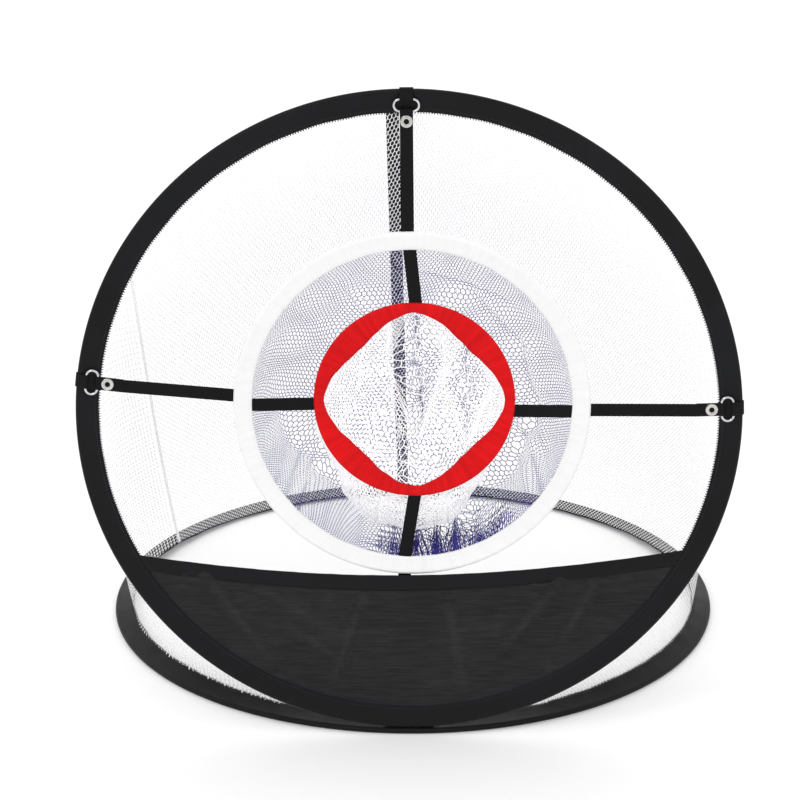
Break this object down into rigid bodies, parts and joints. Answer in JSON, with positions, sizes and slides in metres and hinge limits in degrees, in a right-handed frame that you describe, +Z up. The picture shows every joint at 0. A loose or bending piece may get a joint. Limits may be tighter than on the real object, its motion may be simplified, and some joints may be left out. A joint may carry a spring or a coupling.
{
  "type": "golf chipping net",
  "caption": "Pop-up practice net: a standing target hoop with ringed net pockets, folding down onto a base hoop, with a catch net between them.",
  "frame": {"origin": "on the floor under the middle of the base hoop's front, at the centre of the flat that it rests on", "axes": "+Z up, -Y out of the target's face towards the player, +X to the player's right"},
  "size_m": [0.517, 0.5159, 0.5217],
  "materials": {
    "black_tape": "matt woven polyester tape",
    "black_webbing": "matt woven webbing",
    "black_cloth": "coated oxford cloth",
    "white_tape": "matt woven tape",
    "red_tape": "matt woven tape",
    "blue_mesh": "knotless polyester mesh",
    "white_mesh": "knotless polyester mesh",
    "chrome_ring": "polished chrome",
    "eyelet_metal": "nickel plated",
    "spring_wire": "oiled spring steel",
    "crimp_metal": "plain"
  },
  "bodies": {
    "base_hoop": {"base_hoop_sleeve": "black_tape", "base_hoop_wire": "spring_wire", "base_wire_ferrule": "crimp_metal", "catch_net": "white_mesh", "rear_stay_strap": "black_webbing", "joining_tape": "black_tape"},
    "standing_hoop": {"apron_binding": "black_tape", "apron_panel": "black_cloth", "eyelet_left": "eyelet_metal", "eyelet_right": "eyelet_metal", "eyelet_top": "eyelet_metal", "front_hoop_sleeve": "black_tape", "front_hoop_wire": "spring_wire", "front_wire_ferrule": "crimp_metal", "inner_pocket_net": "white_mesh", "inner_ring_ferrule": "crimp_metal", "inner_ring_sleeve": "red_tape", "inner_ring_wire": "spring_wire", "inner_strap_bottom": "black_webbing", "inner_strap_left": "black_webbing", "inner_strap_right": "black_webbing", "inner_strap_top": "black_webbing", "link_ring_left": "chrome_ring", "link_ring_right": "chrome_ring", "link_ring_top": "chrome_ring", "middle_pocket_net": "blue_mesh", "middle_ring_ferrule": "crimp_metal", "middle_ring_sleeve": "white_tape", "middle_ring_wire": "spring_wire", "outer_strap_bottom": "black_webbing", "outer_strap_left": "black_webbing", "outer_strap_right": "black_webbing", "outer_strap_top": "black_webbing", "tape_loop_left": "black_webbing", "tape_loop_right": "black_webbing", "tape_loop_top": "black_webbing"}
  },
  "joints": [
    {"name": "fold", "type": "hinge", "parent": "base_hoop", "child": "standing_hoop", "pos_m": [0, 0.0028, 0.0054], "axis": [-1, 0, 0], "range_deg": [0, 79], "stiffness_Nm_per_rad": 0.5, "springref_deg": -20.05, "deforming": ["catch_net", "rear_stay_strap", "joining_tape", "middle_pocket_net", "inner_pocket_net"]}
  ]
}
